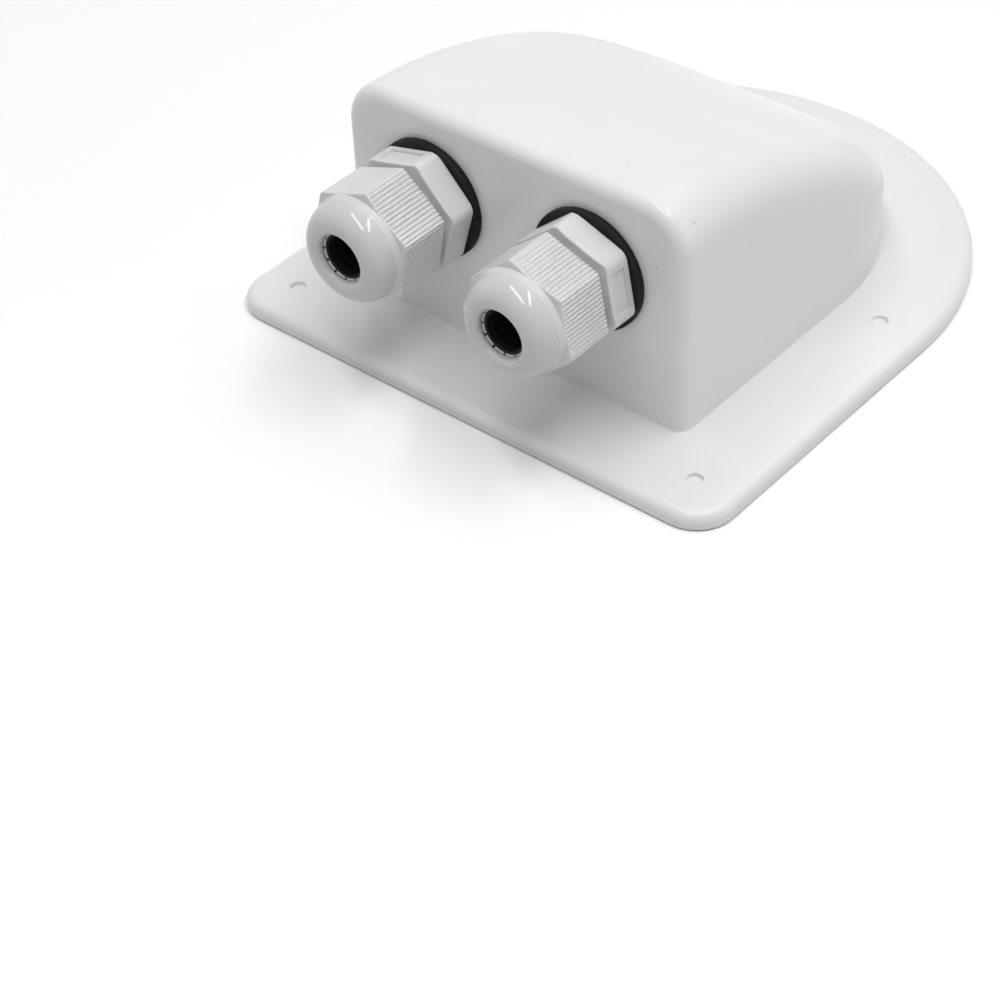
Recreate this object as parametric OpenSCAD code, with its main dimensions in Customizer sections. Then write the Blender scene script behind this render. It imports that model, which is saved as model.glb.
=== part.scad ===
// Roof cable entry box: a hollow moulded hump on a flat flange, with two cable glands in its front.
// X points right, Y to the back and Z up. The origin is on the underside, in the middle of the flange.

/* [Flange] */
// Width of the flange, which is also the diameter of its round rear end
flange_w = 133; // [120:1:160]
// Length of the flange, from its straight front edge to its round rear end
flange_l = 147; // [138:1:170]
// Thickness of the flange
flange_t = 4; // [3.4:0.2:6]
// Radius of the two front corners, seen from above
flange_corner_r = 9; // [4:0.5:14]
// Rounding of the flange's upper edge
flange_edge_r = 2.4; // [1:0.2:2.8]

/* [Screw points] */
// Distance between the left and right screw points
screw_spacing_x = 111; // [108:0.5:120]
// Distance between the front and rear screw points
screw_spacing_y = 68; // [50:0.5:80]
// Distance from the flange's front edge to the front screw points
screw_front = 11; // [8:0.5:14]
// Diameter of the dimple that marks a screw point
dimple_d = 3.6; // [2:0.2:5]
// Depth of the dimple
dimple_depth = 1; // [0.4:0.1:2]

/* [Hump] */
// Width of the hump, which is also the diameter of its round rear end
hump_w = 91; // [84:1:98]
// Distance from the flange's front edge to the hump's front face
hump_setback = 20.5; // [16:0.5:26]
// Height of the hump at its front, from the underside
hump_h = 58; // [54:0.5:66]
// Height of the top where it meets the round rear wall, from the underside
rear_h = 14.5; // [12:0.5:24]
// How late the top falls away to the rear: 2 is a parabola, more keeps it level for longer
crown_power = 1.9; // [1.7:0.1:2.6]
// Radius between the top and the side walls
shoulder_r = 11; // [8:0.5:14]
// Radius round the front face
face_edge_r = 3; // [1:0.5:5]
// Fillet at the foot of the side walls
side_foot_r = 0.5; // [0.4:0.1:1]
// Fillet at the foot of the round rear wall
rear_foot_r = 5; // [2:0.5:7]
// Thickness of the hump's walls
wall_t = 3; // [2:0.2:4]

/* [Gland places] */
// Distance between the axes of the two glands
gland_spacing = 43; // [38:0.5:50]
// Height of the gland axes above the underside
gland_z = 36.7; // [30:0.1:40]
// Turn of the left and right collars about their axes, in degrees
collar_turn = [14, 40]; // [-60:1:60]
// Turn of the left and right dome nuts about their axes, in degrees
nut_turn = [20, 40]; // [-60:1:60]
// Flat of the left and right collars that has the sunk panel, counted from the first corner
panel_flat = [1, 5]; // [0:1:5]

/* [Gland body] */
// Width across the flats of the collar
collar_af = 24.4; // [23:0.2:28]
// Thickness of the collar
collar_t = 6.9; // [4:0.1:8]
// Rounding of the collar's corners
collar_corner_r = 2; // [0.5:0.5:4]
// Length of the sunk panel, along the flat
panel_l = 9.4; // [6:0.2:10]
// Width of the sunk panel, along the axis
panel_w = 3.6; // [2:0.2:4.4]
// Depth of the sunk panel
panel_depth = 0.4; // [0.2:0.1:0.6]
// Diameter of the entry thread, which passes through the front wall
entry_thread_d = 20.4; // [18:0.2:22]
// Length of the entry thread, from the collar's back face
entry_thread_l = 11; // [10:0.5:15]
// Diameter of the cap thread, which carries the dome nut
cap_thread_d = 19; // [18:0.2:20]
// Length of the cap thread inside the dome nut
cap_thread_engaged = 7; // [5:0.5:8]
// Diameter of the passage for the cable through the entry thread
passage_d = 12.2; // [10:0.2:12.8]

/* [Claws and seal] */
// Number of claws
claw_count = 12; // [6:1:16]
// Width of the slots between the claws
claw_slot = 0.5; // [0.3:0.1:1.4]
// Step from the cap thread down to the outside of the claws
claw_step = 1.2; // [0.8:0.1:1.6]
// Length of the straight part of the claws
claw_straight_l = 4.5; // [3:0.5:6]
// Inner diameter at the tips of the claws
claw_tip_d = 11; // [9.8:0.1:11.4]
// Thickness of the claws at their tips
claw_tip_t = 1.1; // [0.8:0.1:1.4]
// Diameter of the pocket that holds the seal
pocket_d = 13.2; // [13:0.1:14]
// Length of the pocket below the end of the cap thread
pocket_depth = 3.5; // [2:0.5:5]
// Diameter of the seal's bore, with no cable in it
seal_bore_d = 9; // [6:0.1:9.4]
// How far the seal stands back from the tips of the claws
seal_recess = 0.2; // [0.1:0.1:2]

/* [Dome nut] */
// Width across the flats of the dome nut
nut_af = 24; // [23.4:0.2:27]
// Gap between the collar and the dome nut
nut_gap = 1.8; // [1:0.1:4]
// Length of the flats
nut_grip_l = 11.8; // [10:0.2:15]
// Length of the domed nose in front of the flats
nose_l = 7.6; // [6:0.2:9]
// Diameter of the smooth band between the flats and the dome
band_d = 23.8; // [23:0.1:24]
// Length of that band
band_l = 1.6; // [1:0.1:2.4]
// Step from the band down to the dome
nose_step = 0.3; // [0.1:0.1:0.6]
// Diameter of the mouth
mouth_d = 12; // [11.4:0.1:12.4]
// Length of the lip round the mouth
lip_l = 1.6; // [1.2:0.1:2.2]
// Rounding of the lip
lip_r = 1.2; // [0.5:0.1:1.2]
// How far the corners of the flats are trimmed
corner_trim = 0.4; // [0.4:0.05:0.8]
// Number of ribs on a ribbed flat
rib_count = 13; // [8:1:16]
// Height of the ribs
rib_h = 0.4; // [0.2:0.05:0.6]

/* [Gasket and lock nut] */
// Outer diameter of the gasket
gasket_d = 28; // [26:0.2:32]
// Thickness of the gasket
gasket_t = 1.8; // [1:0.1:3]
// Width across the flats of the lock nut
lock_nut_af = 27; // [26:0.5:30]
// Thickness of the lock nut
lock_nut_t = 5; // [3:0.5:6]

/* [Clearances] */
// Radial clearance of the entry thread in the front wall
wall_hole_clearance = 0.3; // [0.1:0.05:0.5]
// Radial clearance between the dome nut and the cap thread
nut_thread_clearance = 0.05; // [0.02:0.01:0.1]
// Radial clearance of the gasket, the lock nut and the seal
seat_clearance = 0.1; // [0.05:0.01:0.2]
// Clearance between the claws and the inside of the dome nut
claw_clearance = 0.5; // [0.4:0.1:0.8]
// Gap between the tips of the claws and the lip
tip_gap = 0.3; // [0.2:0.1:2]

/* [Hidden] */
$fn = 64;

LEFT = 0;
RIGHT = 1;
housing_white = [0.93, 0.93, 0.92];
nylon_white = [0.86, 0.86, 0.85];
rubber_black = [0.07, 0.07, 0.075];

// Places along the length of the flange and the hump
front_y = -flange_l / 2;
arc_y = flange_l / 2 - flange_w / 2;
face_y = front_y + hump_setback;
screw_y = front_y + screw_front + screw_spacing_y / 2;
hump_half = hump_w / 2;
hump_l = arc_y + hump_half - face_y;

// Places along a gland's axis, from the outer face of the front wall outwards
lock_nut_back = -wall_t - lock_nut_t;
collar_back = gasket_t;
collar_front = collar_back + collar_t;
panel_back = collar_back + (collar_t - panel_w) / 2;
nut_back = collar_front + nut_gap;
grip_end = nut_back + nut_grip_l;
nose_tip = grip_end + nose_l;
cap_thread_end = nut_back + cap_thread_engaged;
pocket_floor = cap_thread_end - pocket_depth;
claw_bend = cap_thread_end + claw_straight_l;
lip_back = nose_tip - lip_l;
claw_tip = lip_back - tip_gap;
claw_root_r = cap_thread_d / 2 - claw_step;
claw_tip_r = claw_tip_d / 2;

// Steps in the round and lofted forms
edge_steps = 6;
nose_steps = 12;
face_steps = 4;
side_steps = 10;
rear_steps = 18;
shoulder_steps = 8;
foot_steps = 4;

// How far one solid runs into or past another, so that no two faces coincide
overrun = 1;
// Depth of the hump's foot below the top of the flange, and of its floor
sink = 0.35;
floor_sink = 2;
// How far the loft stands in front of the hump's front face, which is cut flat
face_trim = 0.05;
// Shares of a rib's height that its shoulder and its foot may take
shoulder_share = 0.55;
foot_share = 0.35;
// Angles round the rear between which the foot's fillet grows
foot_from = 10;
foot_to = 50;
// Shares of a hexagon's corner turned off at an outer end and at a seated end
outer_chamfer = 0.8;
seated_chamfer = 0.3;
// Corners of a groove between two ribs: share of the pitch and share of the depth
groove = [[0.1, 1], [0.3, 0], [0.7, 0], [0.9, 1]];

// Shared shapes

function arc(cx, cy, rx, ry, from, to, steps) = [
    for (i = [0 : steps])
        let (a = from + (to - from) * i / steps)
        [cx + rx * cos(a), cy + ry * sin(a)]
];

// Outline of a hexagon with rounded corners, its first corner at angle 0
function round_hexagon(af, corner_r, steps) = [
    for (corner = [0 : 5], i = [0 : steps])
        let (centre_r = (af / 2 - corner_r) / cos(30), a = corner * 60 - 30 + 60 * i / steps)
        [centre_r * cos(corner * 60) + corner_r * cos(a), centre_r * sin(corner * 60) + corner_r * sin(a)]
];

module tube(outer_r, inner_r, from, to) {
    difference() {
        translate([0, 0, from]) cylinder(r = outer_r, h = to - from);
        translate([0, 0, from - overrun]) cylinder(r = inner_r, h = to - from + 2 * overrun);
    }
}

// Puts a gland's piece on its axis, with Z along the axis out of the front wall
module on_gland(side) {
    translate([(side - 0.5) * gland_spacing, face_y, gland_z]) rotate([90, 0, 0]) children();
}

// Housing: flange

// Half section of the flange's edge, from a line that lies reach inside the edge
function edge_section(reach) = concat(
    [[0, 0], [reach, 0]],
    arc(reach - flange_edge_r, flange_t - flange_edge_r, flange_edge_r, flange_edge_r, 0, 90, edge_steps),
    [[0, flange_t]]
);

module flange() {
    half = flange_w / 2;
    corner_y = front_y + flange_corner_r;
    translate([0, arc_y, 0]) rotate_extrude(angle = 180) polygon(edge_section(half));
    for (flip = [0, 1])
        mirror([flip, 0, 0]) {
            translate([0, arc_y, 0]) rotate([90, 0, 0])
                linear_extrude(arc_y - corner_y) polygon(edge_section(half));
            translate([half - flange_corner_r, corner_y, 0]) rotate([0, 0, -90])
                rotate_extrude(angle = 90) polygon(edge_section(flange_corner_r));
            translate([half - flange_corner_r, corner_y, 0]) rotate([90, 0, -90])
                linear_extrude(half - flange_corner_r) polygon(edge_section(flange_corner_r));
        }
}

module dimples() {
    for (x = [-0.5, 0.5], y = [-0.5, 0.5])
        translate([x * screw_spacing_x, screw_y + y * screw_spacing_y, flange_t - dimple_depth])
            cylinder(d = dimple_d, h = dimple_depth + overrun);
}

// Housing: hump, lofted through ribs that stand across its sides and round its rear

// Height of the top surface at y, for the outside or for the inside of the walls
function top_z(y, inset) =
    let (
        share = max(y - face_y, 0) / hump_l,
        slope = (hump_h - rear_h) * crown_power * pow(share, crown_power - 1) / hump_l
    )
    hump_h - (hump_h - rear_h) * pow(share, crown_power) - inset * sqrt(1 + slope * slope);

// A rib's angle round the rear arc, its place along the length, and how far it is rounded off
function ribs(inset) =
    let (edge_r = max(face_edge_r - inset, side_foot_r), start = face_y + inset - face_trim)
    concat(
        [for (i = [0 : face_steps])
            let (a = 90 * i / face_steps)
            [0, start + edge_r * (1 - cos(a)), edge_r * (1 - sin(a))]],
        [for (i = [1 : side_steps])
            [0, start + edge_r + (arc_y - start - edge_r) * i / side_steps, 0]],
        [for (i = [1 : rear_steps]) [90 * i / rear_steps, arc_y, 0]]
    );

// Fillet at a rib's foot, which grows from the side walls to the rear
function foot_r(angle) =
    let (share = min(max((angle - foot_from) / (foot_to - foot_from), 0), 1))
    side_foot_r + (rear_foot_r - side_foot_r) * (1 - cos(180 * share)) / 2;

// Points up one rib, from its foot to where the shoulder meets the top
function rib_points(rib, inset) =
    let (
        angle = rib[0],
        half = hump_half - inset - rib[2],
        across = shoulder_r - inset - rib[2],
        rise = top_z(rib[1] + half * sin(angle), inset) - rib[2] - flange_t,
        down = min(across, shoulder_share * rise),
        foot_w = foot_r(angle),
        foot_h = min(foot_w, foot_share * rise),
        foot = inset == 0
            ? concat(
                [[-foot_w, flange_t - floor_sink]],
                [for (i = [0 : foot_steps])
                    let (a = 90 * i / foot_steps)
                    [foot_w * (sin(a) - 1), flange_t - sink + foot_h * (1 - cos(a))]])
            : [[0, -overrun]],
        shoulder = [for (i = [0 : shoulder_steps])
            let (
                a = 90 * i / shoulder_steps,
                inwards = across * (1 - cos(a)),
                y = rib[1] + (half - inwards) * sin(angle)
            )
            [inwards, top_z(y, inset) - rib[2] - down * (1 - sin(a))]]
    )
    [for (p = concat(foot, shoulder))
        [(half - p[0]) * cos(angle), rib[1] + (half - p[0]) * sin(angle), p[1]]];

module hump(inset) {
    right = [for (rib = ribs(inset)) rib_points(rib, inset)];
    last = len(right) - 1;
    left = [for (i = [last - 1 : -1 : 0]) [for (p = right[i]) [-p[0], p[1], p[2]]]];
    all_ribs = concat(right, left);
    high = len(right[0]);
    count = len(all_ribs);
    skin = [for (k = [0 : count - 2], j = [0 : high - 2], half = [0, 1])
        let (a = k * high + j, b = a + high)
        half == 0 ? [a, a + 1, b + 1] : [a, b + 1, b]];
    cap = [for (i = [0 : last - 1])
        let (a = (i + 1) * high - 1, b = a + high, c = (count - i - 1) * high - 1, d = c + high)
        i == last - 1 ? [a, d, b] : [a, d, c, b]];
    face = concat(
        [for (j = [high - 1 : -1 : 0]) j],
        [for (j = [0 : high - 1]) (count - 1) * high + j]
    );
    floor = [for (k = [0 : count - 1]) k * high];
    points = [for (rib = all_ribs) each rib];
    difference() {
        polyhedron(points = points, faces = concat(skin, cap, [face, floor]), convexity = 4);
        translate([-flange_w / 2, front_y, -2 * overrun])
            cube([flange_w, hump_setback + inset, hump_h + 3 * overrun]);
    }
}

module housing() {
    color(housing_white)
    difference() {
        union() {
            flange();
            hump(0);
        }
        hump(wall_t);
        dimples();
        for (side = [LEFT, RIGHT])
            on_gland(side)
                translate([0, 0, -wall_t - overrun])
                    cylinder(d = entry_thread_d + 2 * wall_hole_clearance, h = wall_t + 2 * overrun);
    }
}

// Glands

module gasket(side) {
    color(rubber_black)
    on_gland(side)
        tube(gasket_d / 2, entry_thread_d / 2 + seat_clearance, 0, gasket_t);
}

// Hexagon with its corners turned off at one or both ends
module chamfered_hexagon(af, corner_r, from, to, front, back) {
    tall = af / 2 / cos(30);
    cut = tall - af / 2;
    intersection() {
        translate([0, 0, from]) linear_extrude(to - from) polygon(round_hexagon(af, corner_r, edge_steps));
        rotate_extrude() polygon([
            [0, from], [tall - cut * back, from], [tall, from + cut * back / 2],
            [tall, to - cut * front / 2], [tall - cut * front, to], [0, to]
        ]);
    }
}

// Outside and inside of the claws, from the straight part to the tips
function claw_outside() = [[claw_root_r, claw_bend], [claw_tip_r + claw_tip_t, claw_tip]];
function claw_inside() = [[pocket_d / 2, claw_bend], [claw_tip_r, claw_tip]];

module claw_slots() {
    for (i = [0 : claw_count - 1])
        rotate([0, 0, i * 360 / claw_count])
            translate([0, -claw_slot / 2, cap_thread_end + overrun])
                cube([claw_root_r + overrun, claw_slot, claw_tip - cap_thread_end]);
}

module gland_body(side) {
    color(nylon_white)
    on_gland(side)
    difference() {
        union() {
            rotate([0, 0, collar_turn[side]]) difference() {
                chamfered_hexagon(
                    collar_af, collar_corner_r, collar_back, collar_front, outer_chamfer, seated_chamfer);
                rotate([0, 0, 30 + 60 * panel_flat[side]])
                    translate([collar_af / 2 - panel_depth, -panel_l / 2, panel_back])
                        cube([panel_depth + overrun, panel_l, panel_w]);
            }
            translate([0, 0, collar_back - entry_thread_l])
                cylinder(d = entry_thread_d, h = entry_thread_l + overrun);
            translate([0, 0, collar_front - overrun])
                cylinder(d = cap_thread_d, h = cap_thread_end - collar_front + overrun);
            rotate_extrude() polygon(concat(
                [[0, cap_thread_end - overrun], [claw_root_r, cap_thread_end - overrun]],
                claw_outside(), [[0, claw_tip]]
            ));
        }
        translate([0, 0, collar_back - entry_thread_l - overrun])
            cylinder(d = passage_d, h = entry_thread_l + pocket_floor - collar_back + 2 * overrun);
        rotate_extrude() polygon(concat(
            [[0, pocket_floor], [pocket_d / 2, pocket_floor]],
            claw_inside(),
            [[claw_tip_r, claw_tip + overrun], [0, claw_tip + overrun]]
        ));
        claw_slots();
    }
}

module seal_insert(side) {
    inside = claw_inside();
    share = 1 - seal_recess / (claw_tip - claw_bend);
    end_r = inside[0][0] + (inside[1][0] - inside[0][0]) * share - seat_clearance;
    end = claw_tip - seal_recess;
    color(rubber_black)
    on_gland(side)
    difference() {
        rotate_extrude() polygon([
            [0, pocket_floor], [pocket_d / 2 - seat_clearance, pocket_floor],
            [pocket_d / 2 - seat_clearance, claw_bend], [end_r, end], [0, end]
        ]);
        translate([0, 0, pocket_floor - overrun])
            cylinder(d = seal_bore_d, h = end - pocket_floor + 2 * overrun);
    }
}

// Outline of the dome nut: ribbed flats, with two opposite flats left smooth
function nut_outline() =
    let (side_l = nut_af * tan(30), pitch = side_l / rib_count)
    [for (flat = [0 : 5])
        let (a = 30 + 60 * flat, smooth = flat % 3 == 1)
        each [for (p = smooth
                ? [[-side_l / 2 + pitch / 4, 0], [side_l / 2 - pitch / 4, 0]]
                : [for (i = [0 : rib_count - 1], q = groove)
                    [(i + q[0]) * pitch - side_l / 2, q[1] * rib_h]])
            [(nut_af / 2 - p[1]) * cos(a) - p[0] * sin(a), (nut_af / 2 - p[1]) * sin(a) + p[0] * cos(a)]]];

// Inside of the dome nut: thread, room for the claws, cone and lip
function nut_inside() =
    let (bore_r = cap_thread_d / 2 + nut_thread_clearance)
    concat(
        [[0, nut_back - overrun], [bore_r, nut_back - overrun],
         [bore_r, cap_thread_end + claw_clearance],
         [claw_root_r + claw_clearance, cap_thread_end + claw_clearance],
         [claw_root_r + claw_clearance, claw_bend],
         [claw_tip_r + claw_tip_t + claw_clearance, lip_back],
         [mouth_d / 2, lip_back]],
        arc(mouth_d / 2 + lip_r, nose_tip - lip_r, lip_r, lip_r, 180, 90, edge_steps),
        [[mouth_d / 2 + lip_r, nose_tip + overrun], [0, nose_tip + overrun]]
    );

module dome_nut(side) {
    tall = nut_af / 2 / cos(30);
    band_r = band_d / 2;
    band_end = grip_end + band_l;
    nose_r = band_r - nose_step;
    nose_start = band_end + nose_step;
    flat_r = mouth_d / 2 + lip_r;
    color(nylon_white)
    on_gland(side)
    difference() {
        union() {
            rotate([0, 0, nut_turn[side]]) intersection() {
                translate([0, 0, nut_back]) linear_extrude(nut_grip_l + overrun) polygon(nut_outline());
                rotate_extrude() polygon([
                    [0, nut_back], [tall - corner_trim, nut_back], [tall - corner_trim, grip_end],
                    [band_r - rib_h, grip_end + overrun], [0, grip_end + overrun]
                ]);
            }
            rotate_extrude() polygon(concat(
                [[0, grip_end - overrun], [band_r, grip_end - overrun], [band_r, band_end]],
                arc(flat_r, nose_start, nose_r - flat_r, nose_tip - nose_start, 0, 90, nose_steps),
                [[0, nose_tip]]
            ));
        }
        rotate_extrude() polygon(nut_inside());
    }
}

module lock_nut(side) {
    color(nylon_white)
    on_gland(side)
    difference() {
        chamfered_hexagon(
            lock_nut_af, collar_corner_r, lock_nut_back, -wall_t, seated_chamfer, outer_chamfer);
        translate([0, 0, lock_nut_back - overrun])
            cylinder(d = entry_thread_d + 2 * seat_clearance, h = lock_nut_t + 2 * overrun);
    }
}

housing();
gasket(LEFT);  // left_gasket
gland_body(LEFT);  // left_gland_body
seal_insert(LEFT);  // left_seal_insert
dome_nut(LEFT);  // left_dome_nut
lock_nut(LEFT);  // left_lock_nut
gasket(RIGHT);  // right_gasket
gland_body(RIGHT);  // right_gland_body
seal_insert(RIGHT);  // right_seal_insert
dome_nut(RIGHT);  // right_dome_nut
lock_nut(RIGHT);  // right_lock_nut
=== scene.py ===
import math

import bmesh
import bpy
from mathutils import Matrix, Vector


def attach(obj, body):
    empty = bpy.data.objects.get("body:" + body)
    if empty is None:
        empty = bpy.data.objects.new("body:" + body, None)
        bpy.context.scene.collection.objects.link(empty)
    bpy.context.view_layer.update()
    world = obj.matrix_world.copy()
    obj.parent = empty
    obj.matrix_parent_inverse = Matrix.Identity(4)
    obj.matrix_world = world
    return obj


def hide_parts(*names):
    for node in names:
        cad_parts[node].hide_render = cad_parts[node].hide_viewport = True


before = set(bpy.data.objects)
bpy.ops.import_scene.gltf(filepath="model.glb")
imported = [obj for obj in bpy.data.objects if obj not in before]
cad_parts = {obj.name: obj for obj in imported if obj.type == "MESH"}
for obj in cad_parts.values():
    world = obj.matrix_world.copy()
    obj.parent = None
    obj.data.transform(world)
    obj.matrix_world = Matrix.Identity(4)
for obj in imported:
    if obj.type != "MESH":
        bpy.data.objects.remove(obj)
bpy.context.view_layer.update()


# Housing
# One white ABS moulding. Its flat flange is bonded to the roof, and the hollow hump on it gives the
# cables room to turn down. The hump's top falls in one curve to a low round rear end.

MM = 0.001
QUARTER = math.pi / 2
flange_w, flange_l, flange_t = 133, 147, 4
flange_corner, flange_edge, under_edge = 9, 2.4, 0.3
hump_w, hump_h, rear_h, crown_power = 91, 57.98, 13, 2
shoulder, shoulder_share, face_edge, inner_edge, wall = 11, 0.55, 3, 0.5, 3
side_foot, rear_foot, foot_share = 0.5, 5, 0.35
foot_grows_from, foot_grows_over = 10, 40
front_y, face_y, arc_y = -flange_l / 2, -53, 7
hump_l = arc_y + hump_w / 2 - face_y
across_n, corner_n, side_n, rear_n = 36, 8, 20, 40
foot_n, wall_n, shoulder_n, edge_n = 8, 12, 14, 8
flange_rows = (0.12, 0.4, 0.7)
shell_sharp = 32


def quarter_steps(count, first=0):
    """Sine and cosine at even steps of a quarter turn."""
    return [(math.sin(QUARTER * i / count), math.cos(QUARTER * i / count)) for i in range(first, count + 1)]


def held(value):
    """A value held between 0 and 1."""
    return min(1, max(0, value))


def hump_top(y, inset):
    """Height of the hump's top at one place along it, or of the cavity under it."""
    along = max(y - face_y, 0) / hump_l
    slope = (hump_h - rear_h) * crown_power * along ** (crown_power - 1) / hump_l
    return hump_h - (hump_h - rear_h) * along ** crown_power - inset * math.hypot(1, slope)


def stations(inset):
    """Places round the right half: wall point, way out, way of the shoulder, trim of the front edge."""
    edge, half, start = max(face_edge - inset, inner_edge), hump_w / 2 - inset, face_y + inset
    found = []
    for s, c in quarter_steps(corner_n):
        found.append((half - edge * (1 - s), start + edge * (1 - c), s, -c, 1, 0, edge * (1 - s)))
    for i in range(1, side_n + 1):
        found.append((half, start + edge + (arc_y - start - edge) * i / side_n, 1, 0, 1, 0, 0))
    for s, c in quarter_steps(rear_n, 1):
        found.append((half * c, arc_y + half * s, c, s, c, s, 0))
    return found


def rib(station, inset):
    """Points up the wall at one station, from the foot to where the shoulder meets the top."""
    x, y, out_x, out_y, to_x, to_y, trim = station
    across = shoulder - inset - trim
    rise = hump_top(y, inset) - trim - flange_t
    down = min(across, shoulder_share * rise)
    points = [(x, y, 0)]
    if not inset:
        share = held((math.degrees(math.atan2(to_y, to_x)) - foot_grows_from) / foot_grows_over)
        foot_w = side_foot + (rear_foot - side_foot) * (1 - math.cos(math.pi * share)) / 2
        foot_h = min(foot_w, foot_share * rise)
        points = []
        for s, c in quarter_steps(foot_n):
            d = foot_w * (1 - s)
            points.append((x + out_x * d, y + out_y * d, flange_t + foot_h * (1 - c)))
    low, high = points[-1][2], hump_top(y, inset) - trim - down
    points += [(x, y, low + (high - low) * i / wall_n) for i in range(1, wall_n)]
    for s, c in quarter_steps(shoulder_n):
        px, py = x - to_x * across * (1 - c), y - to_y * across * (1 - c)
        points.append((px, py, hump_top(py, inset) - trim - down * (1 - s)))
    return points


def closed_ring(front_x, front, sides, z):
    """A whole ring from its front row's half width and y, and the points up its right side."""
    row = [(front_x * (2 * i / across_n - 1), front, z) for i in range(across_n + 1)]
    return row + sides + [(-x, y, h) for x, y, h in reversed(sides[:-1])]


def hump_rings(inset):
    """Rings round the hump, from its foot up to the edge of its top."""
    found = []
    for level in zip(*[rib(station, inset) for station in stations(inset)]):
        front_x, front, z = level[0]
        found.append(closed_ring(front_x, front, list(level[1:]), z))
    return found


def flange_ring(inset, z):
    """A ring round the flange, set in from its edge."""
    half, corner = flange_w / 2, flange_corner
    sides = []
    for s, c in quarter_steps(corner_n, 1):
        sides.append((half - corner + (corner - inset) * s, front_y + corner - (corner - inset) * c, z))
    for i in range(1, side_n + 1):
        sides.append((half - inset, front_y + corner + (arc_y - front_y - corner) * i / side_n, z))
    for s, c in quarter_steps(rear_n, 1):
        sides.append(((half - inset) * c, arc_y + (half - inset) * s, z))
    return closed_ring(half - corner, front_y + inset, sides, z)


def ring_faces(count, size, closed=False):
    """Quads between rings of one size that follow each other."""
    return [(a * size + i, a * size + (i + 1) % size, b * size + (i + 1) % size, b * size + i)
            for a, b in [(k, (k + 1) % count) for k in range(count if closed else count - 1)]
            for i in range(size)]


def roof_over(points, first, size):
    """Rows from side to side over a ring, which close it. New points are added to the list."""
    last = corner_n + side_n + rear_n
    rows = [[first + i for i in range(across_n + 1)]]
    for s in range(1, last):
        left, right = first + size - s, first + across_n + s
        x, y, z = points[right]
        rows.append([left] + list(range(len(points), len(points) + across_n - 1)) + [right])
        points += [(x * (2 * i / across_n - 1), y, z) for i in range(1, across_n)]
    tip = first + across_n + last
    faces = [(a[i], a[i + 1], b[i + 1], b[i]) for a, b in zip(rows, rows[1:]) for i in range(across_n)]
    return faces + [(rows[-1][i], rows[-1][i + 1], tip) for i in range(across_n)]


def finish_mesh(mesh, sharp):
    """Smooth shading with the true edges kept sharp."""
    mesh.shade_smooth()
    mesh.set_sharp_from_angle(angle=math.radians(sharp))


def make_piece(name, points, faces, sharp=40):
    """A piece in metres from points in millimetres, with its faces turned outwards."""
    mesh = bpy.data.meshes.new(name)
    mesh.from_pydata([(x * MM, y * MM, z * MM) for x, y, z in points], [], faces)
    shape = bmesh.new()
    shape.from_mesh(mesh)
    bmesh.ops.recalc_face_normals(shape, faces=shape.faces)
    shape.to_mesh(mesh)
    shape.free()
    finish_mesh(mesh, sharp)
    piece = bpy.data.objects.new(name, mesh)
    bpy.context.scene.collection.objects.link(piece)
    return piece


def cut_out(piece, tools, sharp):
    """Cuts the tools' shapes out of a piece and removes the tools."""
    for tool in tools:
        cut = piece.modifiers.new("cut", "BOOLEAN")
        cut.operation, cut.object, cut.solver = "DIFFERENCE", tool, "EXACT"
    cut_mesh = bpy.data.meshes.new_from_object(piece.evaluated_get(bpy.context.evaluated_depsgraph_get()))
    piece.modifiers.clear()
    piece.data = cut_mesh
    finish_mesh(cut_mesh, sharp)
    for tool in tools:
        bpy.data.objects.remove(tool)


def turned(profile, steps, place):
    """Points and faces of a closed profile of (radius, height), turned about an axis."""
    points = [place(r * math.cos(math.tau * i / steps), r * math.sin(math.tau * i / steps), z)
              for r, z in profile for i in range(steps)]
    return points, ring_faces(len(profile), steps, closed=True)


outside = hump_rings(0)[::-1]
foot, flange_top = outside[-1], flange_ring(flange_edge, flange_t)
for share in flange_rows:
    outside.append([tuple(p + (q - p) * share for p, q in zip(a, b)) for a, b in zip(foot, flange_top)])
for i in range(edge_n + 1):
    a = QUARTER * (1 - i / edge_n)
    outside.append(flange_ring(flange_edge * (1 - math.cos(a)), flange_t - flange_edge * (1 - math.sin(a))))
outside += [flange_ring(0, under_edge), flange_ring(under_edge, 0)]
rings = outside + hump_rings(wall)
ring_size = len(foot)
shell_points = [p for ring in rings for p in ring]
shell_faces = ring_faces(len(rings), ring_size)
shell_faces += roof_over(shell_points, 0, ring_size)
shell_faces += roof_over(shell_points, (len(rings) - 1) * ring_size, ring_size)
housing_shell = make_piece("housing_shell", shell_points, shell_faces, shell_sharp)

# The wall's holes for the glands, and the blind dimples with softened rims that mark the screw points
core_r = 0.01
gland_x, gland_z = 21.5, 36.7
hole_r, hole_start, hole_end, hole_n = 10.5, face_y - 6, face_y + 7, 72
hole_profile = [(core_r, hole_start), (hole_r, hole_start), (hole_r, hole_end), (core_r, hole_end)]
screw_x, screw_y = 55.5, (-62.5, 5.5)
dimple_r, dimple_rim, rim_n, dimple_n = 1.8, 0.25, 5, 40
dimple_top = flange_t + 2
dimple_profile = [(core_r, 2.95), (1.3, 2.97), (1.62, 3.03), (dimple_r, 3.2)]
for s, c in quarter_steps(rim_n):
    dimple_profile.append((dimple_r + dimple_rim * (1 - c), flange_t - dimple_rim + dimple_rim * s))
dimple_profile += [(dimple_r + dimple_rim, dimple_top), (core_r, dimple_top)]
tools = []
for x in (-gland_x, gland_x):
    tools.append(make_piece("hole_tool", *turned(
        hole_profile, hole_n, lambda u, v, along, x=x: (x + u, along, gland_z + v))))
for x in (-screw_x, screw_x):
    for y in screw_y:
        tools.append(make_piece("dimple_tool", *turned(
            dimple_profile, dimple_n, lambda u, v, z, x=x, y=y: (x + u, y + v, z))))
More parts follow.
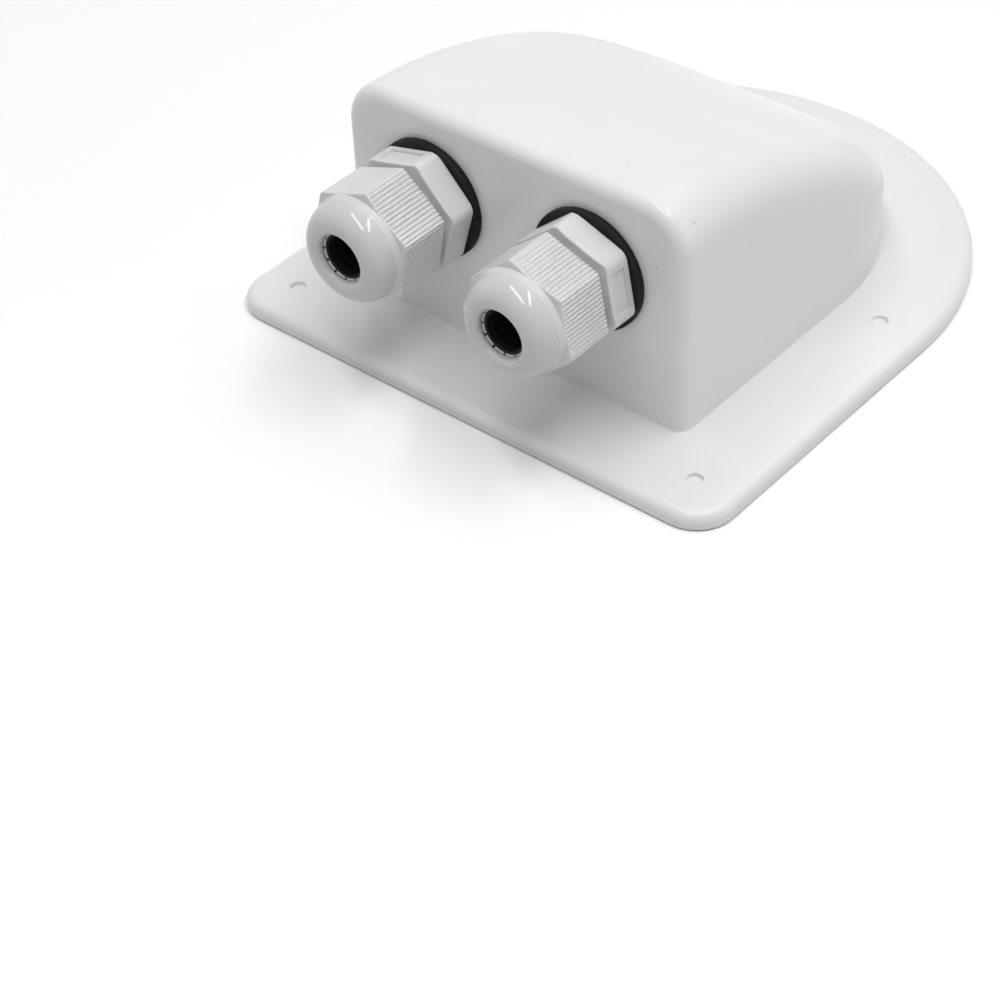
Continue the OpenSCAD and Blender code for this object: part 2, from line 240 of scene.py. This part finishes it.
cut_out(housing_shell, tools, shell_sharp)


def node_tree_parts(tree):
    """Short ways to add and join nodes in one tree."""
    def add(kind, **values):
        made = tree.nodes.new(kind)
        for name, value in values.items():
            if hasattr(made, name):
                setattr(made, name, value)
            else:
                made.inputs[name.replace("_", " ")].default_value = value
        return made

    def join(source, target):
        tree.links.new(source, target)
    return add, join


# Skin of a moulded piece: a slow drift in tone, the slight unevenness of the mould, a fine grain and
# stray specks
moulded_skin = bpy.data.node_groups.new("moulded_skin", "ShaderNodeTree")
skin_inputs = {"Drift Scale": 20, "Grain Scale": 6000, "Speck Scale": 200, "Speck Share": 0.5}
for label, value in skin_inputs.items():
    socket = moulded_skin.interface.new_socket(label, in_out="INPUT", socket_type="NodeSocketFloat")
    socket.default_value = value
for label in ("Tone", "Specks", "Height"):
    moulded_skin.interface.new_socket(label, in_out="OUTPUT", socket_type="NodeSocketFloat")
add, join = node_tree_parts(moulded_skin)
given, shown = add("NodeGroupInput"), add("NodeGroupOutput")
where = add("ShaderNodeTexCoord")
drift = add("ShaderNodeTexNoise", Detail=3.0, Roughness=0.5)
join(where.outputs["Object"], drift.inputs["Vector"])
join(given.outputs["Drift Scale"], drift.inputs["Scale"])
drift_range = add("ShaderNodeMapRange", interpolation_type="SMOOTHSTEP", From_Min=0.2, From_Max=0.8)
join(drift.outputs["Fac"], drift_range.inputs["Value"])
join(drift_range.outputs["Result"], shown.inputs["Tone"])
mould = add("ShaderNodeTexNoise", Scale=260.0, Detail=2.0)
grain = add("ShaderNodeTexNoise", Detail=2.0)
grain_share = 0.25
join(where.outputs["Object"], mould.inputs["Vector"])
join(where.outputs["Object"], grain.inputs["Vector"])
join(given.outputs["Grain Scale"], grain.inputs["Scale"])
height = add("ShaderNodeMath", operation="MULTIPLY_ADD")
join(grain.outputs["Fac"], height.inputs[0])
height.inputs[1].default_value = grain_share
join(mould.outputs["Fac"], height.inputs[2])
join(height.outputs["Value"], shown.inputs["Height"])
cells = add("ShaderNodeTexVoronoi")
join(where.outputs["Object"], cells.inputs["Vector"])
join(given.outputs["Speck Scale"], cells.inputs["Scale"])
dot = add("ShaderNodeMapRange", From_Min=0.06, From_Max=0.035)
join(cells.outputs["Distance"], dot.inputs["Value"])
some = add("ShaderNodeSeparateColor")
join(cells.outputs["Color"], some.inputs["Color"])
kept = add("ShaderNodeMath", operation="LESS_THAN")
join(some.outputs["Red"], kept.inputs[0])
join(given.outputs["Speck Share"], kept.inputs[1])
specks = add("ShaderNodeMath", operation="MULTIPLY")
join(dot.outputs["Result"], specks.inputs[0])
join(kept.outputs["Value"], specks.inputs[1])
join(specks.outputs["Value"], shown.inputs["Specks"])

# Places of the colour sockets on a mix node
mix_a, mix_b, mixed = 6, 7, 2
relief_depth = 0.0002


def moulded_finish(name, pale, deep, speck, rough, bump, skin_values):
    """A moulded finish: two close tones that drift, stray specks, and a gloss that varies with the tone."""
    material = bpy.data.materials.new(name)
    material.use_nodes = True
    add, join = node_tree_parts(material.node_tree)
    shader = material.node_tree.nodes["Principled BSDF"]
    shader.inputs["IOR"].default_value = 1.5
    skin = add("ShaderNodeGroup", node_tree=moulded_skin)
    for label, value in skin_values.items():
        skin.inputs[label].default_value = value
    tone = add("ShaderNodeMix", data_type="RGBA")
    tone.inputs[mix_a].default_value = (*deep, 1)
    tone.inputs[mix_b].default_value = (*pale, 1)
    join(skin.outputs["Tone"], tone.inputs["Factor"])
    dotted = add("ShaderNodeMix", data_type="RGBA")
    dotted.inputs[mix_b].default_value = (*speck, 1)
    join(tone.outputs[mixed], dotted.inputs[mix_a])
    join(skin.outputs["Specks"], dotted.inputs["Factor"])
    join(dotted.outputs[mixed], shader.inputs["Base Color"])
    gloss = add("ShaderNodeMapRange", To_Min=rough[1], To_Max=rough[0])
    join(skin.outputs["Tone"], gloss.inputs["Value"])
    join(gloss.outputs["Result"], shader.inputs["Roughness"])
    relief = add("ShaderNodeBump", Strength=bump, Distance=relief_depth)
    join(skin.outputs["Height"], relief.inputs["Height"])
    join(relief.outputs["Normal"], shader.inputs["Normal"])
    return material


white_abs = moulded_finish(
    "white_abs", pale=(0.80, 0.80, 0.792), deep=(0.765, 0.765, 0.755), speck=(0.45, 0.44, 0.42),
    rough=(0.17, 0.25), bump=0.08,
    skin_values={"Drift Scale": 26, "Grain Scale": 5200, "Speck Scale": 210, "Speck Share": 0.13})
housing_shell.data.materials.clear()
housing_shell.data.materials.append(white_abs)
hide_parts("housing")
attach(housing_shell, "housing")


# Gaskets
# A flat black rubber washer under each collar. It is die-cut from sheet, and the tightened lock nut
# presses it against the wall, so its rim bulges a little.

gland_side = {"left": -1, "right": 1}
gasket_r, gasket_hole, gasket_t, gasket_edge = 14, 10.3, 1.8, 0.45
gasket_rim_n, gasket_n, rubber_sharp = 5, 128, 50

black_rubber = moulded_finish(
    "black_rubber", pale=(0.014, 0.014, 0.0145), deep=(0.007, 0.007, 0.0075), speck=(0.05, 0.05, 0.05),
    rough=(0.5, 0.62), bump=0.25,
    skin_values={"Drift Scale": 140, "Grain Scale": 3800, "Speck Scale": 900, "Speck Share": 0.6})
black_rubber.node_tree.nodes["Principled BSDF"].inputs["Specular IOR Level"].default_value = 0.16


def on_gland(side):
    """Puts a point of a gland on its axis: the third value is the distance out of the front wall."""
    return lambda u, v, a: (gland_side[side] * gland_x + u, face_y - a, gland_z + v)


gasket_profile = [(gasket_hole, 0)]
for middle, start in ((gasket_edge, -QUARTER), (gasket_t - gasket_edge, 0)):
    for i in range(gasket_rim_n + 1):
        a = start + QUARTER * i / gasket_rim_n
        gasket_profile.append((gasket_r - gasket_edge * (1 - math.cos(a)),
                               middle + gasket_edge * math.sin(a)))
gasket_profile.append((gasket_hole, gasket_t))
for side in gland_side:
    points, faces = turned(gasket_profile, gasket_n, on_gland(side))
    ring = make_piece(side + "_gasket_ring", points, faces, rubber_sharp)
    ring.data.materials.append(black_rubber)
    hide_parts(side + "_gasket")
    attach(ring, "housing")


# Gland bodies
# One off-white nylon moulding each: a hexagon collar, the entry thread that passes through the wall,
# the cap thread that carries the dome nut, and a crown of springy claws round the seal.

collar_turn = {"left": 14, "right": 40}
collar_af, collar_back, collar_front, collar_corner = 24.4, 1.8, 8.7, 2
back_edge, corner_fall, face_step, hexagon_edge_n = 0.3, 0.5, 0.2, 6
entry_r, entry_end, cap_r, cap_end = 10.2, -9.2, 9.5, 17.5
thread_pitch, thread_depth, thread_fade, rows_per_turn = 1.5, 0.75, 0.8, 10
flank_slope, crest_share = 2.6, 0.65
passage_r, pocket_r, pocket_floor = 6.1, 6.6, 14
claw_n, claw_slot, claw_r, claw_bend, claw_tip = 12, 0.5, 8.3, 22, 28
claw_root, claw_steps, claw_soft, tip_r, tip_t = cap_end - 0.5, 6, 0.12, 5.2, 1.1
panel_flat = {"left": 1, "right": 5}
panel_half_w, panel_half_h, panel_middle = 4.7, 1.8, 5.25
panel_faces = ((-0.5, 0.05), (0.4, 0.12))
nylon_sharp = 34

white_nylon = moulded_finish(
    "white_nylon", pale=(0.685, 0.685, 0.675), deep=(0.645, 0.645, 0.635), speck=(0.4, 0.39, 0.37),
    rough=(0.30, 0.40), bump=0.14,
    skin_values={"Drift Scale": 90, "Grain Scale": 7000, "Speck Scale": 320, "Speck Share": 0.25})


def round_hexagon(af, corner, turn, corner_steps=8, flat_steps=6):
    """Outline of a hexagon with round corners, as (radius, angle), its first corner at turn degrees."""
    reach = (af / 2 - corner) / math.cos(math.pi / 6)
    outline = []
    for k in range(6):
        at, after = math.radians(60 * k + turn), math.radians(60 * k + 60 + turn)
        for i in range(corner_steps + 1):
            a = at + math.pi / 3 * (i / corner_steps - 0.5)
            outline.append((reach * math.cos(at) + corner * math.cos(a),
                            reach * math.sin(at) + corner * math.sin(a)))
        here = outline[-1]
        end = (reach * math.cos(after) + corner * math.cos(at + math.pi / 6),
               reach * math.sin(after) + corner * math.sin(at + math.pi / 6))
        for i in range(1, flat_steps):
            outline.append(tuple(p + (q - p) * i / flat_steps for p, q in zip(here, end)))
    return [(math.hypot(x, y), math.atan2(y, x)) for x, y in outline]


def skin_round(rows, place):
    """Points and faces of closed rows of (radius, angle, height)."""
    points = [place(r * math.cos(a), r * math.sin(a), z) for row in rows for r, a, z in row]
    return points, ring_faces(len(rows), len(rows[0]), closed=True)


def round_rows(profile, angles):
    """Round rows for a profile of (radius, height)."""
    return [[(r, a, z) for a in angles] for r, z in profile]


def hexagon_rows(outline, back, front, back_cut, front_cut, edge):
    """Rows up a hexagon whose corners are turned off at both ends and whose edges are softened."""
    low = min(r for r, a in outline)
    rows = []
    for share in (1, 0.5, 0):
        start = back + back_edge * (1 - share)
        rows.append([(r - back_edge * share, a, start + max(r - low - back_cut, 0) * corner_fall)
                     for r, a in outline])
    for s, c in quarter_steps(hexagon_edge_n):
        end = front - edge * (1 - s)
        rows.append([(r - edge * (1 - c), a, end - max(r - low - front_cut, 0) * corner_fall)
                     for r, a in outline])
    rows.append([(min(r, low) - edge - face_step, a, front) for r, a in outline])
    return rows


def thread_rows(radius, low, high, angles, plain_low, plain_high):
    """Rows up a right-hand thread, which runs out at both ends."""
    count = int((high - low) / thread_pitch * rows_per_turn)
    rows = []
    for k in range(count + 1):
        z = low + (high - low) * k / count
        fade = held((z - low - plain_low) / thread_fade) * held((high - plain_high - z) / thread_fade)
        row = []
        for a in angles:
            turn = (z / thread_pitch - a / math.tau) % 1
            flank = held(abs(turn - 0.5) * flank_slope - crest_share)
            row.append((radius - thread_depth * fade * flank, a, z))
        rows.append(row)
    return rows


def claw(turn):
    """One claw: a curved finger that bends inwards to a rounded tip."""
    outer = [(claw_r, claw_root), (claw_r, 19), (claw_r, 20.6), (claw_r - 0.08, claw_bend), (7.63, 24),
             (6.97, 26), (tip_r + tip_t, claw_tip - 0.2), (tip_r + tip_t - 0.25, claw_tip)]
    inner = [(tip_r + 0.2, claw_tip), (tip_r, claw_tip - 0.25), (5.67, 26), (6.13, 24), (6.57, claw_bend),
             (pocket_r, 20.6), (pocket_r, 19), (pocket_r, claw_root)]
    loop = outer + inner
    size = len(loop)
    points = []
    for i in range(claw_steps + 1):
        side = i / claw_steps * 2 - 1
        for r, z in loop:
            a = turn + side * (math.pi / claw_n - math.asin(claw_slot / 2 / r))
            drop = claw_soft if abs(side) == 1 and z > claw_tip - 0.3 else 0
            points.append((r * math.cos(a), r * math.sin(a), z - drop))
    faces = ring_faces(claw_steps + 1, size)
    for first in (0, claw_steps * size):
        last = first + size - 1
        faces += [(first + i, first + i + 1, last - i - 1, last - i) for i in range(size // 2 - 1)]
    return points, faces


neck_profile = [(cap_r + 0.5, collar_front), (cap_r + 0.15, collar_front + 0.12),
                (cap_r, collar_front + 0.5)]
passage_profile = [(cap_r - 0.3, cap_end), (pocket_r, cap_end), (pocket_r, pocket_floor),
                   (passage_r, pocket_floor), (passage_r, entry_end + 0.3), (passage_r + 0.3, entry_end),
                   (entry_r - 0.6, entry_end)]
for side in gland_side:
    place = on_gland(side)
    outline = round_hexagon(collar_af, collar_corner, collar_turn[side])
    angles = [a for r, a in outline]
    rows = hexagon_rows(outline, collar_back, collar_front, back_cut=1.2, front_cut=0.9, edge=0.4)
    rows += round_rows(neck_profile, angles)
    rows += thread_rows(cap_r, collar_front + 0.6, cap_end - 0.3, angles, plain_low=1.2, plain_high=0.2)
    rows += round_rows(passage_profile, angles)
    rows += thread_rows(entry_r, entry_end + 0.2, collar_back - 0.2, angles, plain_low=0, plain_high=0.6)
    rows += round_rows([(entry_r, collar_back)], angles)
    body = make_piece(side + "_gland_moulding", *skin_round(rows, place), nylon_sharp)

    # Sunk plain panel on one flat of the collar
    facing = math.radians(collar_turn[side] + 30 + 60 * panel_flat[side])
    panel = []
    for depth, draft in panel_faces:
        r = collar_af / 2 + depth
        for across, along in ((-1, -1), (1, -1), (1, 1), (-1, 1)):
            u = across * (panel_half_w + draft)
            panel.append(place(r * math.cos(facing) - u * math.sin(facing),
                               r * math.sin(facing) + u * math.cos(facing),
                               panel_middle + along * (panel_half_h + draft)))
    tool = make_piece("panel_tool", panel, [(0, 1, 2, 3), (4, 5, 6, 7)] + ring_faces(2, 4))
    cut_out(body, [tool], nylon_sharp)
    body.data.materials.clear()
    body.data.materials.append(white_nylon)
    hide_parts(side + "_gland_body")
    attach(body, "housing")

    points, faces = [], []
    for k in range(claw_n):
        claw_points, claw_faces = claw(math.tau * (k + 0.5) / claw_n)
        faces += [tuple(len(points) + i for i in face) for face in claw_faces]
        points += [place(*p) for p in claw_points]
    crown = make_piece(side + "_gland_claws", points, faces, nylon_sharp)
    crown.data.materials.append(white_nylon)
    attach(crown, "housing")


# Seal inserts
# A black rubber bush inside each crown of claws. It is a press-in moulding, and the claws squeeze it
# onto the cable. Its front lip is rounded and its bore has shallow sealing rings.

seal_r, seal_bore, seal_end, seal_n = 6.5, 4.5, 27.8, 96
seal_ring_h, seal_ring_pitch, bore_n = 0.14, 2.4, 60
seal_profile = [(seal_bore + 0.5, pocket_floor), (seal_r - 0.2, pocket_floor), (seal_r, pocket_floor + 0.2),
                (seal_r, 21.8), (6.33, 22.6), (5.75, 25.2), (5.27, 27.2), (5.2, 27.5), (5.08, 27.72),
                (4.92, seal_end), (4.74, 27.76), (4.6, 27.64), (4.53, 27.4)]
for i in range(bore_n + 1):
    z = pocket_floor + 0.5 + (seal_end - 1.2 - pocket_floor) * (1 - i / bore_n)
    wave = 0.5 - 0.5 * math.cos(math.tau * (z - pocket_floor) / seal_ring_pitch)
    seal_profile.append((seal_bore + seal_ring_h * wave, z))
for side in gland_side:
    bush = make_piece(side + "_seal_bush", *turned(seal_profile, seal_n, on_gland(side)), rubber_sharp)
    bush.data.materials.append(black_rubber)
    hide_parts(side + "_seal_insert")
    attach(bush, "housing")


# Dome nuts
# Off-white nylon, moulded in one shot. Four of the six flats have fine ribs for grip, the other two are
# smooth. The polished nose closes to a lip, and its inner cone presses the claws together as the nut is
# turned in.

nut_turn = {"left": 20, "right": 40}
nut_af, nut_back, nut_edge, nut_bore, nut_sharp = 24, 10.5, 0.12, 9.55, 38
nut_corner = nut_af / 2 / math.cos(math.pi / 6)
corner_trim, corner_soft = 0.12, 0.3
rib_n, rib_h, groove_power, rib_steps, smooth_steps = 14, 0.4, 1.5, 10, 16
rib_ends = ((0, 0.9), (0.35, 0.45), (1, 0.1))
cone_base, cone_inset, cone_fall, cone_edge = 22.7, 0.4, 4.5, 0.06
cone_rows = (0.05, 0.35, 0.7, 1)
band_r, band_foot, nose_r, nose_start, nose_tip = 11.9, 0.18, 11.6, 24.2, 29.9
mouth_r, lip_r, nose_n, lip_n = 5.5, 1.6, 22, 8

# The nose is the same nylon as the rest of the nut, but its colour is set darker: painted shade that tones
# down how bright the nose renders. Only its lower roughness is a real polish.
polished_nylon_painted_darker = moulded_finish(
    "polished_nylon_painted_darker", pale=(0.61, 0.61, 0.602), deep=(0.585, 0.585, 0.577), speck=(0.45, 0.44, 0.42),
    rough=(0.09, 0.13), bump=0.03,
    skin_values={"Drift Scale": 90, "Grain Scale": 7000, "Speck Scale": 320, "Speck Share": 0.2})


def nut_outline(turn):
    """Outline of the grip as (radius, radius without ribs, angle): rounded ribs with narrow grooves."""
    length, limit = nut_af * math.tan(math.pi / 6), nut_corner - corner_trim

    def softened(u, r):
        far = math.hypot(u, r)
        over = far - limit + corner_soft
        return far if over < 0 else limit - corner_soft * math.exp(-over / corner_soft)

    outline = []
    for flat in range(6):
        facing = math.radians(turn + 30 + 60 * flat)
        smooth = flat % 3 == 1
        count = smooth_steps if smooth else rib_n * rib_steps
        for i in range(count):
            t = (i + 0.5) / count
            groove = 0 if smooth else rib_h * (0.5 - 0.5 * math.cos(math.tau * t * rib_n)) ** groove_power
            u, r = length * (t - 0.5), nut_af / 2
            outline.append((softened(u, r - groove), softened(u, r), facing + math.atan2(u, r)))
    return outline


def cone_z(r):
    """Height of the shallow cone between the grip and the band."""
    return cone_base + (nut_corner - cone_inset - r) / cone_fall


band_profile = [(band_r + 0.02, 23.15), (band_r, 23.3), (band_r - 0.04, 23.55), (band_r - 0.12, 23.8),
                (band_r - 0.2, 24), (nose_r + 0.03, 24.2), (nose_r - 0.02, 24.4)]
flat_r = mouth_r + lip_r
nose_profile = []
for s, c in quarter_steps(nose_n, 2):
    nose_profile.append((flat_r + (nose_r - flat_r) * c, nose_start + (nose_tip - nose_start) * s))
for s, c in quarter_steps(lip_n, 1):
    nose_profile.append((mouth_r + lip_r * (1 - s), nose_tip - lip_r * (1 - c)))
inside_profile = [(mouth_r, 28.27), (mouth_r + 0.08, 28.2), (6.8, 28.2), (8.8, 22), (8.8, 18),
                  (nut_bore, 18), (nut_bore, nut_back + 0.4), (nut_bore + 0.4, nut_back)]
for side in gland_side:
    outline = nut_outline(nut_turn[side])
    angles = [a for r, plain, a in outline]
    rows = []
    for share in (1, 0.5, 0):
        start = nut_back + nut_edge * (1 - share)
        rows.append([(r - nut_edge * share, a, start) for r, plain, a in outline])
    for share, back in rib_ends:
        rows.append([(r + (plain - r) * share, a, cone_z(plain) - back) for r, plain, a in outline])
    for share in cone_rows:
        cone = [(plain - cone_edge + (band_r + band_foot - plain) * share, a) for r, plain, a in outline]
        rows.append([(r, a, cone_z(r)) for r, a in cone])
    rows += round_rows(band_profile, angles)
    polished_from = len(rows) - 1
    rows += round_rows(nose_profile, angles)
    polished_to = len(rows)
    rows += round_rows(inside_profile, angles)
    nut = make_piece(side + "_dome_nut_moulding", *skin_round(rows, on_gland(side)), nut_sharp)
    nut.data.materials.append(white_nylon)
    nut.data.materials.append(polished_nylon_painted_darker)
    around = len(outline)
    for face in nut.data.polygons:
        first, last = min(face.vertices) // around, max(face.vertices) // around
        polished = polished_from <= first < polished_to and last - first < 2
        face.material_index = 1 if polished else 0
    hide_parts(side + "_dome_nut")
    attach(nut, side + "_dome_nut")


# Lock nuts
# A plain hexagon nut of the same nylon on each entry thread. It sits inside the hump and clamps the wall
# between itself and the gasket.

lock_af, lock_back, lock_front, lock_bore = 27, -8, -3, 10.3
lock_profile = [(lock_bore + 0.6, lock_back), (lock_bore, lock_back + 0.6),
                (lock_bore, lock_front - 0.4), (lock_bore + 0.4, lock_front)]
for side in gland_side:
    outline = round_hexagon(lock_af, collar_corner, 0)
    angles = [a for r, a in outline]
    rows = hexagon_rows(outline, lock_back, lock_front, back_cut=1.4, front_cut=0.4, edge=0.5)
    rows = [[(r, a, lock_back + lock_front - z) for r, a, z in row] for row in rows]
    rows += round_rows(lock_profile, angles)
    nut = make_piece(side + "_lock_nut_moulding", *skin_round(rows, on_gland(side)), nylon_sharp)
    nut.data.materials.append(white_nylon)
    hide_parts(side + "_lock_nut")
    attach(nut, "housing")


# Studio
# A plain white floor under a wide soft light from above and behind, so that the front is in soft shade.
# Two thin strip lights draw the fine streaks on the polished noses. The camera looks down from the right.

floor_half, floor_z = 6, -0.0002
floor_corners = [(x * floor_half, y * floor_half, floor_z) for x, y in ((-1, -1), (1, -1), (1, 1), (-1, 1))]
floor_mesh = bpy.data.meshes.new("floor")
floor_mesh.from_pydata(floor_corners, [], [(0, 1, 2, 3)])
floor = bpy.data.objects.new("floor", floor_mesh)
bpy.context.scene.collection.objects.link(floor)


def seen_directly(add, join):
    """1 where a thing is seen straight, mirrored or through glass, and 0 where it only gives light."""
    path = add("ShaderNodeLightPath")
    mirrored = add("ShaderNodeMath", operation="ADD")
    join(path.outputs["Is Camera Ray"], mirrored.inputs[0])
    join(path.outputs["Is Glossy Ray"], mirrored.inputs[1])
    seen = add("ShaderNodeMath", operation="ADD", use_clamp=True)
    join(mirrored.outputs["Value"], seen.inputs[0])
    join(path.outputs["Is Transmission Ray"], seen.inputs[1])
    return seen.outputs["Value"]


# White paper that keeps the shadow near the box and runs out to pure white further off
paper = bpy.data.materials.new("floor_paper")
paper.use_nodes = True
add, join = node_tree_parts(paper.node_tree)
shader = paper.node_tree.nodes["Principled BSDF"]
shader.inputs["Roughness"].default_value = 0.9
shader.inputs["Specular IOR Level"].default_value = 0.0
shader.inputs["Emission Strength"].default_value = 1.0
seen = seen_directly(add, join)
tint = add("ShaderNodeMix", data_type="RGBA")
tint.inputs[mix_a].default_value = (0.68, 0.68, 0.68, 1)
tint.inputs[mix_b].default_value = (1, 1, 1, 1)
join(seen, tint.inputs["Factor"])
spot = add("ShaderNodeTexCoord")
reach = add("ShaderNodeVectorMath", operation="LENGTH")
join(spot.outputs["Object"], reach.inputs[0])
far = add("ShaderNodeMapRange", interpolation_type="SMOOTHSTEP", From_Min=0.2, From_Max=0.6)
join(reach.outputs["Value"], far.inputs["Value"])
white_out = add("ShaderNodeMath", operation="MULTIPLY")
join(far.outputs["Result"], white_out.inputs[0])
join(seen, white_out.inputs[1])
paper_tone = add("ShaderNodeMix", data_type="RGBA")
paper_tone.inputs[mix_b].default_value = (0, 0, 0, 1)
join(tint.outputs[mixed], paper_tone.inputs[mix_a])
join(white_out.outputs["Value"], paper_tone.inputs["Factor"])
join(paper_tone.outputs[mixed], shader.inputs["Base Color"])
join(white_out.outputs["Value"], shader.inputs["Emission Color"])
floor_mesh.materials.append(paper)


def soft_light(name, place, aim, size, power):
    """A soft box that faces its aim and is hidden from the camera."""
    lamp = bpy.data.lights.new(name, "AREA")
    lamp.shape = "RECTANGLE"
    lamp.size, lamp.size_y = size
    lamp.energy = power
    light = bpy.data.objects.new(name, lamp)
    light.location = place
    light.rotation_mode = "QUATERNION"
    light.rotation_quaternion = (Vector(aim) - Vector(place)).normalized().to_track_quat("-Z", "Y")
    light.visible_camera = False
    bpy.context.scene.collection.objects.link(light)
    return light


soft_light("rear_box", place=(0.1, 0.55, 1.1), aim=(0, 0.03, 0.03), size=(1.2, 0.8), power=2.3)
soft_light("left_box", place=(-0.9, -0.5, 0.55), aim=(0, -0.05, 0.03), size=(0.9, 0.9), power=0.72)
soft_light("side_box", place=(1.2, 0.35, 0.4), aim=(0, 0, 0.03), size=(0.9, 0.6), power=1.05)

# Each strip hangs level from one end to the other and shines straight down
strip_z, strip_w, strip_power = 0.845, 0.082, 2
strip_ends = {"strip_left": ((-0.264, -0.073), (0.327, -0.461)),
              "strip_right": ((0.142, 0.248), (0.529, -0.270))}
for name, (start, end) in strip_ends.items():
    x, y = (start[0] + end[0]) / 2, (start[1] + end[1]) / 2
    strip = soft_light(name, (x, y, strip_z), (x, y, 0), (math.dist(start, end), strip_w), strip_power)
    strip.rotation_mode = "XYZ"
    strip.rotation_euler = (0, 0, math.atan2(end[1] - start[1], end[0] - start[0]))

# A white room that gives more light from above than from the sides
low_light, top_light = 0.12, 0.64
world = bpy.data.worlds.new("white_room")
bpy.context.scene.world = world
world.use_nodes = True
add, join = node_tree_parts(world.node_tree)
room = world.node_tree.nodes["Background"]
room.inputs["Color"].default_value = (1, 1, 1, 1)
spot = add("ShaderNodeTexCoord")
split = add("ShaderNodeSeparateXYZ")
join(spot.outputs["Generated"], split.inputs["Vector"])
rise = add("ShaderNodeMapRange", From_Min=0.0, From_Max=1.0, To_Min=low_light, To_Max=top_light)
join(split.outputs["Z"], rise.inputs["Value"])
level = add("ShaderNodeMix", data_type="FLOAT")
join(seen_directly(add, join), level.inputs["Factor"])
join(rise.outputs["Result"], level.inputs["A"])
level.inputs["B"].default_value = 1.0
join(level.outputs["Result"], room.inputs["Strength"])

lens = bpy.data.cameras.new("camera")
lens.lens, lens.sensor_width = 92.534, 36
lens.clip_start, lens.clip_end = 0.01, 50
camera = bpy.data.objects.new("camera", lens)
camera.matrix_world = Matrix((
    (0.767430, -0.395545, 0.504574, 0.291252),
    (0.640228, 0.514582, -0.570362, -0.389100),
    (-0.034041, 0.760756, 0.648145, 0.341716),
    (0, 0, 0, 1)))
bpy.context.scene.collection.objects.link(camera)
bpy.context.scene.camera = camera
bpy.context.scene.view_settings.view_transform = "Standard"
